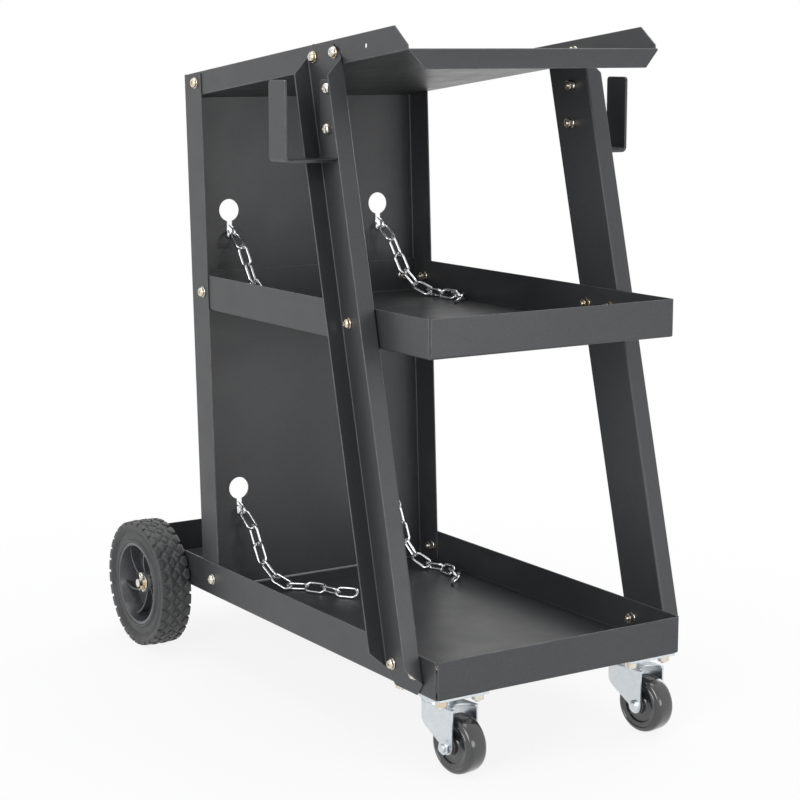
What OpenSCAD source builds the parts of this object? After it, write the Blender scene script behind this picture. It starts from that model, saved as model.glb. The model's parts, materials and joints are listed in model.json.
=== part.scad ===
/* [Sheet metal] */
// Thickness of the sheet steel
sheet = 1.2; // [0.8:0.1:2]
// Inside radius of the folds
fold_r = 1; // [0.5:0.1:2]
// Outside width of the middle and the top shelf
shelf_w = 307; // [240:1:400]
// Height of the lips round the tray and the middle shelf
lip_h = 40; // [34:1:60]

/* [Bottom tray] */
// Length of the bottom tray
tray_l = 686; // [620:1:860]
// Length of the cylinder bay behind the back panel
bay_l = 168.5; // [130:0.5:230]

/* [Middle shelf] */
// Depth of the middle shelf, from the back panel to its front lip
mid_l = 500; // [430:1:640]
// Height of the middle shelf above the bottom tray, underside to underside
mid_rise = 339; // [280:1:420]

/* [Top shelf] */
// Length of the top shelf along its slope
top_l = 467.5; // [400:0.5:600]
// Height of the top shelf's rear fold above the middle shelf's underside
top_rise = 242.5; // [200:0.5:300]
// Slope of the top shelf, in degrees
top_slope = 6.7; // [2:0.1:12]
// Height of the top shelf's side lips
top_lip_h = 26; // [20:1:36]
// Depth of the top shelf's front lip, which turns down
nose_h = 19; // [12:1:30]

/* [Back panel] */
// Lean of the back panel towards the rear, in degrees
panel_lean = 2.6; // [0:0.1:5]
// Depth of the panel's side flanges
panel_flange = 39; // [34:1:60]
// Diameter of the keyholes
keyhole_d = 26; // [22:1:32]
// Distance between the keyholes, across the panel
keyhole_pitch = 206; // [150:1:230]
// Height of the upper keyholes above the middle shelf's floor
upper_keyhole_rise = 109; // [90:1:150]
// Height of the lower keyholes above the tray's floor
lower_keyhole_rise = 117; // [90:1:150]
// Width of the slot below each keyhole
slot_w = 7; // [5:0.5:9]
// Depth of the slot's end below the keyhole's centre
slot_drop = 32; // [28:1:40]

/* [Front legs] */
// Width of a leg's web
leg_w = 66; // [56:1:80]
// Width of a leg's flanges
leg_flange = 20; // [14:1:30]
// Lean of the legs towards the rear at the top, in degrees
leg_lean = 14.2; // [8:0.1:18]
// Distance from the back panel to the legs, at the middle shelf
leg_reach = 369; // [330:1:430]
// Spacing of the bolt pairs that hold the legs
leg_bolt_pitch = 41; // [30:1:46]

/* [Cable hooks] */
// Width of a cable hook's strap
hook_w = 33; // [24:1:40]
// Thickness of the strap
hook_t = 3; // [2:0.5:4]
// Reach of a hook out from its leg
hook_reach = 60; // [45:1:90]
// Height of a hook
hook_h = 83; // [70:1:110]

/* [Casters] */
// Diameter of a caster's wheel
caster_wheel_d = 61; // [50:1:80]
// Width of a caster's wheel
caster_wheel_w = 23; // [18:1:28]
// Trail of the caster's wheel behind its swivel pin
caster_trail = 31; // [24:1:40]
// Length of the mounting plate
plate_l = 92; // [80:1:110]
// Width of the mounting plate
plate_w = 60; // [54:1:80]
// Lengthwise spacing of the plate's bolts
plate_bolt_l = 73; // [62:1:90]
// Crosswise spacing of the plate's bolts
plate_bolt_w = 44.5; // [38:0.5:60]
// Distance from the middle of the cart to a swivel pin
caster_x = 121; // [80:1:130]
// Angle that the casters are turned to, in degrees
caster_turn = 8; // [0:1:20]

/* [Rear wheels] */
// Drop of the axle below the tray's underside
axle_drop = 8; // [8:0.5:30]
// Diameter of the axle
axle_d = 10; // [8:0.5:11]
// Width of the tyre
tyre_w = 38; // [30:1:50]
// Depth of the rubber from the tread to the wheel's rim
tyre_depth = 27.5; // [20:0.5:34]
// Number of curved ribs in the wheel's hub
rib_count = 6; // [4:1:9]

/* [Chains] */
// Thickness of the chain's wire
wire = 3.2; // [2.5:0.1:4]
// Outside length of a chain link
link_l = 29; // [25:0.5:36]
// Outside width of a chain link
link_w = 15; // [13:0.5:18]

/* [Fasteners] */
// Thread diameter of the bolts
bolt_d = 6; // [5:0.5:6]
// Diameter of the bolt heads
head_d = 11.5; // [10:0.5:13]
// Height of the bolt heads
head_h = 4; // [3:0.5:5]
// Width across the flats of the nuts
nut_w = 10; // [8:0.5:11]
// Height of the nuts
nut_h = 5; // [4:0.5:6]

/* [Hidden] */
$fn = 48;

// Overrun of the cuts, and the gap between sheets that lie on each other
over = 1;
fit = 0.15;
// Play of a bolt in its hole, radially, and of parts that turn on each other
bolt_play = 0.2;
run_play = 0.08;
// Gap between faces that slide or roll past each other
side_play = 0.3;
seam = 0.8;

black = [0.11, 0.115, 0.125];
zinc = [0.72, 0.75, 0.78];
gold = [0.78, 0.70, 0.50];
rubber = [0.06, 0.06, 0.065];
plastic = [0.09, 0.09, 0.1];
sides = [-1, 1];

// Widths that nest: shelves inside the panel's flanges, and those inside the tray's lips
panel_w = shelf_w + 2 * (sheet + fit);
tray_w = panel_w + 2 * (sheet + fit);

// Heights of a caster's parts, which set the height of the tray
fork_t = 2;
crown_gap = 7;
race_h = 12.5;
plate_t = 2.5;
crown_z = caster_wheel_d + crown_gap;
crown_top = crown_z + fork_t;
plate_z = crown_top + race_h;
tray_z = plate_z + plate_t;
tray_floor = tray_z + sheet;
mid_z = tray_z + mid_rise;
mid_floor = mid_z + sheet;
mid_top = mid_z + lip_h;
top_z = mid_z + top_rise;

// Lengthwise places: the origin is the middle of the cart's length
plate_setback = 1;
crown_w = 14;
pin_setback = plate_setback + plate_l / 2;
wheel_reach = (caster_trail + caster_wheel_d / 2) * cos(caster_turn) + crown_w / 2 * sin(caster_turn);
total_l = tray_l + wheel_reach - pin_setback;
tray_rear = total_l / 2;
tray_front = tray_rear - tray_l;
panel_y = tray_rear - bay_l;
caster_y = tray_front + pin_setback;
bearing_r = caster_wheel_d / 2;

// The panel's own frame starts at the height of the middle shelf's lip
panel_foot_gap = 1.5;
panel_top_drop = 1;
panel_bottom = (tray_floor + panel_foot_gap - mid_top) / cos(panel_lean);
function lip_top_z(reach) = top_z + reach * tan(top_slope) + top_lip_h / cos(top_slope);
panel_top = (lip_top_z(0) - panel_top_drop - mid_top) / cos(panel_lean);
flange_bolt_reach = 27;
rear_bolt_edge = 16.3;
rear_bolt_x = shelf_w / 2 - sheet - rear_bolt_edge;
mid_bolt_z = mid_z + lip_h / 2;
tray_bolt_z = tray_z + lip_h / 2;
top_lip_mid = top_lip_h / 2;
upper_keyhole_z = mid_floor + upper_keyhole_rise;
lower_keyhole_z = tray_floor + lower_keyhole_rise;

// The legs: their centre line, their ends and the slight splay that meets tray and top shelf
leg_chamfer = 14;
leg_end_cut = 17;
leg_tail = 1;
leg_top_drop = 2;
leg_half = leg_w / 2 / cos(leg_lean);
leg_slopes = tan(leg_lean) * tan(top_slope);
leg_top_z = (top_z + leg_reach * tan(top_slope) + mid_top * leg_slopes
    + top_lip_h / cos(top_slope) - leg_top_drop) / (1 + leg_slopes);
leg_foot_z = tray_z - leg_tail;
function leg_reach_at(z) = leg_reach - (z - mid_top) * tan(leg_lean);
function leg_y(z) = panel_y - leg_reach_at(z);
top_bolt_z = (top_z + leg_reach * tan(top_slope) + mid_top * leg_slopes
    + top_lip_mid / cos(top_slope)) / (1 + leg_slopes);
splay = atan((tray_w - shelf_w) / 2 / (top_bolt_z - tray_bolt_z));
function web_in(z) = tray_w / 2 + fit - (z - tray_bolt_z) * tan(splay);
function web_out(z) = web_in(z) + sheet / cos(splay);
function web_seat(z) = web_out(z) + washer_d / 2 * tan(splay);
function top_bolt_at(s) = top_bolt_z - s * leg_bolt_pitch / 2 * tan(top_slope);

// The cable hooks
hook_drop = 35.5;
hook_top = leg_top_z - hook_drop;
hook_foot = hook_top - hook_h;
hook_bolt_edge = 9;
hook_bend = 3;
hook_corner = 4;
hook_mid_z = hook_top - hook_bolt_edge - leg_bolt_pitch / 2;
hook_y = leg_y(hook_mid_z);
hook_x = web_out(hook_foot) + fit;

// The rear axle and its wheels
rear_r = tray_z - axle_drop;
axle_z = rear_r;
axle_y = panel_y + bay_l / 2;
wheel_gap = 2.3;
rear_x = tray_w / 2 + wheel_gap + tyre_w / 2;
rim_r = rear_r - tyre_depth;
boss_r = 13;
boss_setback = 1.5;
boss_in = tyre_w / 2 - boss_setback;
boss_out = 7;
washer_t = 1.6;
washer_d = 12.6;
axle_washer_d = 20;
spacer_d = 15;
axle_end = 5;
pin_d = 2.6;
pin_gap = 0.8;
pin_x = rear_x + boss_out + side_play + washer_t + pin_gap + pin_d / 2;
axle_half = pin_x + axle_end;
bracket_t = 2;
bracket_w = 26;
bracket_l = 72;
bracket_ear = 10;
bracket_edge = 10;
bracket_x = tray_w / 2 - bracket_w / 2 - bracket_edge;
bracket_bolt_reach = 27;

// Bolt parts
shank_r = bolt_d / 2;
hole_r = shank_r + bolt_play;
washer_h = 1.6;
thread_end = 2.5;

// Chain: the joints lie half a pitch each side of a link's middle
chain_slack = 0.6;
pitch = link_l - 2 * wire - chain_slack;
wire_r = (link_w - wire) / 2;
lie_h = wire / 2 + wire_r * sin(45) + side_play;
pass_dip = 20;
pass_rise = link_w / 2 / cos(pass_dip) + side_play;
hang_y = sheet / 2 + lie_h;
solve_steps = 30;

// Outline of a folded channel, open at the top, with its lower corners rounded
module folded_box(w, h, r) {
    union() {
        translate([-w / 2, r]) square([w, h - r]);
        translate([r - w / 2, 0]) square([w - 2 * r, h]);
        for (s = sides) translate([s * (w / 2 - r), r]) circle(r);
    }
}

module channel(w, h, t) {
    difference() {
        folded_box(w, h, fold_r + t);
        translate([0, t]) folded_box(w - 2 * t, h, fold_r);
    }
}

// Turns a flat outline so that it is extruded along Y, centred, or along X
module along_y(l) {
    rotate([90, 0, 0]) linear_extrude(l, center = true) children();
}

module along_x(l) {
    rotate([90, 0, 90]) linear_extrude(l, center = true) children();
}

module rod_x(r, l) {
    rotate([0, 90, 0]) cylinder(r = r, h = l, center = true);
}

// Frames of the leaning panel and the sloping shelf
module at_panel() {
    translate([0, panel_y, mid_top]) rotate([-panel_lean, 0, 0]) children();
}

module at_top_shelf() {
    translate([0, panel_y, top_z]) rotate([-top_slope, 0, 0]) children();
}

function panel_y_at(z) = panel_y + (z - mid_top) * tan(panel_lean);
function flange_y_at(z) = panel_y_at(z) - flange_bolt_reach;

// Height of the screws that join the top shelf's lips to the panel's flanges
top_flange_z = top_z + flange_bolt_reach * tan(top_slope) + top_lip_mid / cos(top_slope);

// Cut off a shelf: what is behind the panel's front face or in the folds of its flanges
module behind_panel() {
    at_panel() union() {
        translate([-shelf_w, -fit, -mid_top]) cube([2 * shelf_w, 2 * tray_l, 2 * mid_top]);
        for (s = sides) translate([s * shelf_w / 2 - fold_r - fit, -fit - fold_r, -mid_top])
            cube([2 * (fold_r + fit), 2 * fold_r, 2 * mid_top]);
    }
}

// A rear lip that lies against the panel, between two heights in the panel's frame
module rear_lip(low, high) {
    at_panel() translate([-shelf_w / 2 + sheet + seam, -fit - sheet, low])
        cube([shelf_w - 2 * (sheet + seam), sheet, high - low]);
}

// Bolt holes, each along X or along the panel's depth
module side_hole(y, z) {
    translate([0, y, z]) rod_x(hole_r, 2 * tray_w);
}

module leg_holes() {
    for (s = sides) {
        side_hole(leg_y(tray_bolt_z) + s * leg_bolt_pitch / 2, tray_bolt_z);
        side_hole(leg_y(mid_bolt_z) + s * leg_bolt_pitch / 2, mid_bolt_z);
        side_hole(leg_y(top_bolt_z) + s * leg_bolt_pitch / 2, top_bolt_at(s));
    }
}

module hook_holes() {
    for (s = sides) side_hole(hook_y, hook_mid_z + s * leg_bolt_pitch / 2);
}

module flange_holes() {
    for (z = [tray_bolt_z, mid_bolt_z, top_flange_z]) side_hole(flange_y_at(z), z);
}

module rear_holes() {
    for (s = sides, z = rear_bolt_heights) at_panel()
        translate([s * rear_bolt_x, 0, z]) rotate([90, 0, 0])
            cylinder(r = hole_r, h = lip_h, center = true);
}

top_rear_low = (top_z - (top_z - mid_top) * tan(panel_lean) * tan(top_slope) - mid_top)
    / cos(panel_lean);
rear_bolt_heights = [-lip_h / 2, top_rear_low + top_lip_h / 2];

module plate_holes() {
    for (s = sides, a = sides, b = sides)
        translate([s * caster_x + a * plate_bolt_w / 2, caster_y + b * plate_bolt_l / 2, tray_z])
            cylinder(r = hole_r, h = lip_h, center = true);
}

module bracket_holes() {
    for (s = sides, b = sides)
        translate([s * bracket_x, axle_y + b * bracket_bolt_reach, tray_z])
            cylinder(r = hole_r, h = lip_h, center = true);
}

// The bottom tray: a floor with four folded lips, open at the corner seams
module bottom_tray() {
    color(black) difference() {
        union() {
            translate([0, tray_rear - tray_l / 2, tray_z]) along_y(tray_l - 2 * (sheet + seam))
                channel(tray_w, lip_h, sheet);
            translate([0, tray_rear - tray_l / 2, tray_z])
                along_x(tray_w - 2 * (sheet + fold_r)) channel(tray_l, lip_h, sheet);
        }
        leg_holes();
        flange_holes();
        plate_holes();
        bracket_holes();
    }
}

// The middle shelf: three folded lips and a rear lip on the leaning panel
module middle_shelf() {
    color(black) difference() {
        union() {
            difference() {
                union() {
                    translate([0, panel_y - mid_l / 2 + sheet + seam, mid_z]) along_y(mid_l)
                        channel(shelf_w, lip_h, sheet);
                    translate([0, panel_y, mid_z]) along_x(shelf_w - 2 * (sheet + fold_r))
                        channel(2 * mid_l, lip_h, sheet);
                }
                behind_panel();
            }
            rear_lip(-lip_h + sheet / 2, 0);
        }
        leg_holes();
        flange_holes();
        rear_holes();
    }
}

// The top shelf: side lips up with slanted noses, a tapered front lip down
nose_cut = 24.5;
nose_taper = 17;
cable_hole_r = 2.5;
cable_hole_back = 79;

module top_shelf() {
    color(black) difference() {
        union() {
            difference() {
                at_top_shelf() {
                    translate([0, -top_l / 2 + over, 0]) along_y(top_l - 2 * over - 2 * fold_r)
                        channel(shelf_w, top_lip_h, sheet);
                    difference() {
                        translate([0, 0, sheet]) rotate([180, 0, 0]) along_x(shelf_w)
                            channel(2 * top_l, nose_h + sheet, sheet);
                        for (s = sides) nose_corner(s);
                    }
                }
                behind_panel();
                at_top_shelf() for (s = sides) side_nose(s);
            }
            rear_lip(top_rear_low + sheet / 2, panel_top);
        }
        leg_holes();
        flange_holes();
        rear_holes();
        at_top_shelf() translate([0, cable_hole_back - top_l, top_lip_mid])
            rod_x(cable_hole_r, 2 * tray_w);
    }
}

// Slanted cut at the front end of a side lip
module side_nose(s) {
    translate([s * shelf_w / 2, -top_l, sheet + fold_r]) along_x(4 * sheet)
        polygon([
            [-over, 0], [0, 0], [nose_cut, top_lip_h - sheet - fold_r],
            [nose_cut, top_lip_h], [-over, top_lip_h]
        ]);
}

// Slanted cut at an end of the front lip, which hangs below the floor
module nose_corner(s) {
    translate([s * shelf_w / 2, -top_l, 0]) mirror([s < 0 ? 1 : 0, 0, 0])
        rotate([90, 0, 0]) linear_extrude(4 * nose_h, center = true) polygon([
            [over, -fold_r], [0, -fold_r], [-nose_taper, -nose_h],
            [-nose_taper, -2 * nose_h], [over, -2 * nose_h]
        ]);
}

// The back panel: a leaning channel that opens forward, with four keyholes
module keyholes() {
    for (s = sides, z = [upper_keyhole_z, lower_keyhole_z])
        at_panel() translate([s * keyhole_pitch / 2, sheet / 2, (z - mid_top) / cos(panel_lean)])
            rotate([90, 0, 0]) {
                cylinder(d = keyhole_d, h = 4 * sheet, center = true);
                translate([0, slot_w / 2 - slot_drop, 0])
                    cylinder(d = slot_w, h = 4 * sheet, center = true);
                translate([-slot_w / 2, slot_w / 2 - slot_drop, -2 * sheet])
                    cube([slot_w, slot_drop - slot_w / 2, 4 * sheet]);
            }
}

module back_panel() {
    color(black) difference() {
        at_panel() translate([0, sheet, panel_bottom]) rotate([0, 0, 180])
            linear_extrude(panel_top - panel_bottom)
                channel(panel_w, panel_flange + sheet, sheet);
        keyholes();
        flange_holes();
        rear_holes();
    }
}

// A front leg: a leaning channel that opens outwards, its web longer than its flanges
module leg_outline() {
    low = leg_foot_z;
    high = leg_top_z;
    c = leg_chamfer;
    polygon([
        [leg_y(low) - leg_half + c, low], [leg_y(low) + leg_half - c, low],
        [leg_y(low + c) + leg_half, low + c], [leg_y(high - c) + leg_half, high - c],
        [leg_y(high) + leg_half - c, high], [leg_y(high) - leg_half + c, high],
        [leg_y(high - c) - leg_half, high - c], [leg_y(low + c) - leg_half, low + c]
    ]);
}

// Cuts the free end of one flange on a slant, above or below
module flange_end(s, end_z, up) {
    y = leg_y(end_z) + s * leg_half;
    w = leg_flange - sheet - fold_r;
    translate([web_out(end_z) + fold_r, y, end_z]) rotate([90 - leg_lean, 0, 0])
        linear_extrude(2 * leg_chamfer, center = true) polygon([
            [0, 0], [w, -up * leg_end_cut], [w + leg_flange, -up * leg_end_cut],
            [w + leg_flange, up * leg_w], [0, up * leg_w]
        ]);
}

module leg(s) {
    mirror([s < 0 ? 1 : 0, 0, 0]) difference() {
        translate([web_in(mid_top), leg_y(mid_top), mid_top]) rotate([0, -splay, 0])
            rotate([-leg_lean, 0, 0]) rotate([0, 0, -90])
                translate([0, 0, -mid_top]) linear_extrude(2 * mid_top)
                    channel(leg_w, leg_flange, sheet);
        difference() {
            translate([web_in(mid_top), leg_y(mid_top) - leg_w * 5, -over])
                translate([-leg_flange, 0, 0]) cube([3 * leg_flange, leg_w * 10, 2 * mid_top]);
            along_x(2 * tray_w) leg_outline();
        }
        for (e = sides) {
            flange_end(e, leg_top_z - leg_chamfer, 1);
            flange_end(e, leg_foot_z + leg_chamfer, -1);
        }
        leg_holes();
        hook_holes();
    }
}

module left_leg() {
    color(black) leg(-1);
}

module right_leg() {
    color(black) leg(1);
}

// A cable hook: a strap bent into a tray-like U, its outer arm free
module hook(s) {
    reach = hook_reach + hook_t;
    mirror([s < 0 ? 1 : 0, 0, 0]) difference() {
        intersection() {
            translate([hook_x + reach / 2, hook_y, hook_foot]) along_y(hook_w)
                difference() {
                    folded_box(reach, hook_h, hook_bend + hook_t);
                    translate([0, hook_t]) folded_box(reach - 2 * hook_t, hook_h, hook_bend);
                }
            translate([hook_x + reach / 2, hook_y, hook_top]) along_x(2 * reach)
                mirror([0, 1, 0]) folded_box(hook_w, hook_h + over, hook_corner);
        }
        hook_holes();
    }
}

module left_hook() {
    color(black) hook(-1);
}

module right_hook() {
    color(black) hook(1);
}

// A pan-head screw along -Z, its head's seat at z = 0, with a grip that it clamps
module screw(grip) {
    rotate_extrude() polygon([
        [0, head_h], [head_d / 2 - head_h / 2, head_h], [head_d / 2, head_h / 2],
        [head_d / 2, 0], [shank_r, 0], [shank_r, -grip - washer_h - nut_h - thread_end],
        [0, -grip - washer_h - nut_h - thread_end]
    ]);
}

module ring(d, bore_r, h) {
    difference() {
        cylinder(d = d, h = h);
        translate([0, 0, -over]) cylinder(r = bore_r, h = h + 2 * over);
    }
}

module nut() {
    difference() {
        cylinder(d = nut_w / cos(30), h = nut_h, $fn = 6);
        translate([0, 0, -over]) cylinder(r = hole_r, h = nut_h + 2 * over);
    }
}

// One part of a fastener along -Z: its seat is at z = 0 and its grip below that
module fastener(part, grip, washer) {
    seat = washer ? washer_h : 0;
    if (part == "screw") translate([0, 0, seat]) screw(grip + seat);
    if (part == "washer" && washer) ring(washer_d, hole_r, washer_h);
    if (part == "washer") translate([0, 0, -grip - washer_h]) ring(washer_d, hole_r, washer_h);
    if (part == "nut") translate([0, 0, -grip - washer_h - nut_h]) nut();
}

// The same fastener through a side wall, between two distances from the middle
module side_fastener(part, outer, inner, y, z) {
    for (s = sides) mirror([s < 0 ? 1 : 0, 0, 0]) translate([outer, y, z])
        rotate([0, 90, 0]) fastener(part, outer - inner, true);
}

module leg_fasteners(part) {
    tray_in = tray_w / 2 - sheet;
    shelf_in = shelf_w / 2 - sheet;
    for (s = sides) {
        side_fastener(part, web_seat(tray_bolt_z), tray_in,
            leg_y(tray_bolt_z) + s * leg_bolt_pitch / 2, tray_bolt_z);
        side_fastener(part, web_seat(mid_bolt_z), shelf_in,
            leg_y(mid_bolt_z) + s * leg_bolt_pitch / 2, mid_bolt_z);
        side_fastener(part, web_seat(top_bolt_at(s)), shelf_in,
            leg_y(top_bolt_z) + s * leg_bolt_pitch / 2, top_bolt_at(s));
    }
}

module leg_screws() {
    color(gold) leg_fasteners("screw");
}

module leg_washers() {
    color(zinc) leg_fasteners("washer");
}

module leg_nuts() {
    color(gold) leg_fasteners("nut");
}

module hook_fasteners(part) {
    for (s = sides) side_fastener(part, hook_x + hook_t, web_in(hook_top),
        hook_y, hook_mid_z + s * leg_bolt_pitch / 2);
}

module hook_screws() {
    color(gold) {
        hook_fasteners("screw");
        hook_fasteners("washer");
    }
}

module hook_nuts() {
    color(gold) hook_fasteners("nut");
}

module panel_fasteners(part) {
    side_fastener(part, tray_w / 2, panel_w / 2 - sheet, flange_y_at(tray_bolt_z), tray_bolt_z);
    side_fastener(part, panel_w / 2, shelf_w / 2 - sheet, flange_y_at(mid_bolt_z), mid_bolt_z);
    side_fastener(part, panel_w / 2, shelf_w / 2 - sheet, flange_y_at(top_flange_z), top_flange_z);
    for (s = sides, z = rear_bolt_heights) at_panel()
        translate([s * rear_bolt_x, sheet, z]) rotate([-90, 0, 0])
            fastener(part, 2 * sheet + fit, true);
}

module panel_screws() {
    color(gold) panel_fasteners("screw");
}

module panel_washers() {
    color(zinc) panel_fasteners("washer");
}

module panel_nuts() {
    color(gold) panel_fasteners("nut");
}

// Two folded brackets under the tray carry the axle through their ears
module axle_brackets() {
    low = axle_z - bracket_ear;
    color(black) for (s = sides) difference() {
        intersection() {
            translate([s * bracket_x, axle_y, tray_z]) rotate([180, 0, 0]) along_y(bracket_l)
                channel(bracket_w, tray_z - low, bracket_t);
            translate([s * bracket_x, axle_y, 0]) along_x(2 * bracket_w) polygon([
                [-bracket_l / 2, tray_z], [-bracket_l / 2, tray_z - 2 * bracket_t],
                [-bracket_ear, low], [bracket_ear, low],
                [bracket_l / 2, tray_z - 2 * bracket_t], [bracket_l / 2, tray_z]
            ]);
        }
        translate([0, axle_y, axle_z]) rod_x(axle_d / 2 + fit, 2 * tray_w);
        bracket_holes();
    }
}

module bracket_fasteners(part) {
    for (s = sides, b = sides)
        translate([s * bracket_x, axle_y + b * bracket_bolt_reach, tray_floor])
            fastener(part, sheet + bracket_t, false);
}

module bracket_screws() {
    color(gold) bracket_fasteners("screw");
}

module bracket_nuts() {
    color(gold) {
        bracket_fasteners("washer");
        bracket_fasteners("nut");
    }
}

// The rear axle, drilled across near its ends for the split pins
module at_axle() {
    translate([0, axle_y, axle_z]) children();
}

module rear_axle() {
    color(zinc) at_axle() difference() {
        rod_x(axle_d / 2, 2 * axle_half);
        for (s = sides) translate([s * pin_x, 0, 0])
            cylinder(d = pin_d + 2 * run_play, h = 2 * axle_d, center = true);
    }
}

module side_ring(x, d, bore_r, h) {
    for (s = sides) mirror([s < 0 ? 1 : 0, 0, 0]) translate([x, 0, 0])
        rotate([0, 90, 0]) ring(d, bore_r, h);
}

// Spacer tubes between the brackets and the wheels
module axle_spacers() {
    from = bracket_x + bracket_w / 2;
    to = rear_x - boss_in - side_play - washer_t;
    color(zinc) at_axle() side_ring(from, spacer_d, axle_d / 2 + fit, to - from);
}

module axle_washers() {
    color(zinc) at_axle() {
        side_ring(rear_x - boss_in - side_play - washer_t, spacer_d, axle_d / 2 + fit, washer_t);
        side_ring(rear_x + boss_out + side_play, axle_washer_d, axle_d / 2 + fit, washer_t);
    }
}

// Split pins: a ring eye above the axle and two legs bent apart below it
pin_eye_r = 3;
pin_tail = 7;
pin_reach = 1;
pin_leg_share = 0.35;
pin_bend = 130;

module cotter_pins() {
    top = axle_d / 2 + pin_reach;
    color(gold) at_axle() for (s = sides) translate([s * pin_x, 0, 0]) {
        translate([0, 0, -top]) cylinder(d = pin_d, h = 2 * top + pin_reach);
        translate([0, 0, top + pin_eye_r]) rotate([0, 90, 0])
            rotate_extrude() translate([pin_eye_r, 0]) circle(d = pin_d);
        for (b = sides) translate([0, 0, -top]) rotate([b * pin_bend, 0, 0])
            cylinder(r = pin_d * pin_leg_share, h = pin_tail);
    }
}

// A rear tyre: a revolved section with lugs cut into both shoulders
lug_count = 40;
lug_w = 4;
lug_depth = 3;
lug_reach = 9;
lug_play = 1;

// Points of the tyre's section: shares of its depth above the rim and of half its width
tyre_shares = [
    [0, 0.79], [0.1, 0.94], [0.17, 0.97], [0.5, 1], [0.55, 0.985], [0.58, 0.95],
    [0.82, 0.93], [0.93, 0.83], [0.985, 0.6], [1, 0.3]
];

module at_rear_wheel(s) {
    translate([s * rear_x, axle_y, axle_z]) rotate([0, s * 90, 0]) children();
}

module tyre_section() {
    half = [for (p = tyre_shares) [rim_r + p[0] * tyre_depth, p[1] * tyre_w / 2]];
    polygon(concat(half, [for (i = [len(half) - 1:-1:0]) [half[i][0], -half[i][1]]]));
}

module tyre() {
    difference() {
        rotate_extrude($fn = 96) tyre_section();
        for (i = [0:lug_count - 1], s = sides) rotate([0, 0, (i + s / 4) * 360 / lug_count])
            mirror([0, 0, s < 0 ? 1 : 0])
                translate([rear_r - lug_reach, -lug_w / 2, tyre_w / 2 - lug_depth])
                    cube([lug_reach + lug_play, lug_w, lug_depth + over]);
    }
}

module left_rear_tyre() {
    color(rubber) at_rear_wheel(-1) tyre();
}

module right_rear_tyre() {
    color(rubber) at_rear_wheel(1) tyre();
}

// A rear hub: a dished disc with a conical rim wall, a bored boss and curved ribs
rib_r = 30;
rib_t = 2;
rim_wall = 2.5;
web_t = 3;
web_x = -5;
dish = 8;
flare = 3;
rib_edge = 6;

module hub_section() {
    w = tyre_w / 2;
    r = rim_r - fit;
    polygon([
        [0, -boss_in], [boss_r - rim_wall, -boss_in], [boss_r, web_x], [r - dish, web_x],
        [r - rim_wall, rib_edge - w], [r - rim_wall, rim_wall - w], [r, rim_wall - w],
        [r, w - flare], [r + rim_wall / 2, w - rim_wall / 2], [r, w - rim_wall / 4],
        [r - rim_wall, w - rim_wall / 2], [r - dish, web_x + web_t],
        [boss_r + rim_wall, web_x + web_t], [boss_r, boss_out - rim_wall],
        [boss_r - rim_wall / 2, boss_out], [0, boss_out]
    ]);
}

// The ribs fill this section, from the boss to the rim's slanting wall
module rib_section() {
    r = rim_r - fit;
    polygon([
        [boss_r - rim_wall, web_x], [r - dish + rib_t / 2, web_x],
        [r - dish / 2, tyre_w / 2 - dish], [boss_r - rim_wall, boss_out - rim_wall]
    ]);
}

module hub() {
    difference() {
        union() {
            rotate_extrude($fn = 96) hub_section();
            intersection() {
                for (i = [0:rib_count - 1]) rotate([0, 0, i * 360 / rib_count])
                    translate([rib_r, 0, web_x]) linear_extrude(tyre_w) rib_arc();
                rotate_extrude() rib_section();
            }
        }
        cylinder(r = axle_d / 2 + run_play, h = 4 * tyre_w, center = true);
    }
}

// A rib's plan: part of a thin round arc, which runs from the boss to the rim
module rib_arc() {
    difference() {
        circle(rib_r);
        circle(rib_r - rib_t);
        translate([-2 * rib_r, -2 * rib_r]) square([4 * rib_r, 2 * rib_r]);
    }
}

module left_rear_hub() {
    color(plastic) at_rear_wheel(-1) hub();
}

module right_rear_hub() {
    color(plastic) at_rear_wheel(1) hub();
}

// Casters: what is fixed to the tray, and what turns with the fork
module at_caster(s) {
    translate([s * caster_x, caster_y, 0]) children();
}

module at_fork(s) {
    at_caster(s) rotate([0, 0, caster_turn]) children();
}

module at_caster_wheel(s) {
    at_fork(s) translate([0, -caster_trail, bearing_r]) mirror([s < 0 ? 1 : 0, 0, 0])
        rotate([0, 90, 0]) children();
}

fork_w = 36;
fork_in = fork_w - 2 * fork_t;
lobe_r = 8;
waist = 7;
pin_r = 5;
pin_head_r = 8.5;
pin_head_h = 3;
collar_w = 2;
ball_r = 2.5;
ball_circle = 14;
ball_count = 14;
ball_share = 0.44;
ball_z = crown_top + race_h * ball_share;
race_ring = 3.6;
race_r = 21;
race_step = 1;
caster_axle_r = 4;
bush_r = 5.5;
wheel_boss_r = 9;
caster_head_r = 6.5;
caster_head_h = 3;
caster_nut_w = 13;

// Points of the caster wheel's section: shares of its radius and of half its width
wheel_shares = [[0.36, 0.8], [0.62, 0.76], [0.66, 1], [0.88, 1], [0.97, 0.84], [1, 0.5]];

module caster_plate(s) {
    difference() {
        at_caster(s) translate([0, 0, plate_z]) linear_extrude(plate_t) difference() {
            square([plate_w, plate_l], center = true);
            circle(pin_r + fit);
        }
        plate_holes();
    }
}

module ball_groove() {
    rotate_extrude() translate([ball_circle, ball_z]) circle(ball_r + run_play);
}

module caster_race(s) {
    at_caster(s) difference() {
        rotate_extrude() polygon([
            [pin_r + fit, ball_z + race_step], [race_r - 2 * race_step, ball_z + race_step],
            [race_r - 2 * race_step, ball_z - race_step], [race_r, ball_z - race_step],
            [race_r, plate_z - race_step], [race_r - race_step, plate_z], [pin_r + fit, plate_z]
        ]);
        ball_groove();
    }
}

module caster_balls(s) {
    at_caster(s) for (i = [0:ball_count - 1]) rotate([0, 0, i * 360 / ball_count])
        translate([ball_circle, 0, ball_z]) sphere(ball_r);
}

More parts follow.
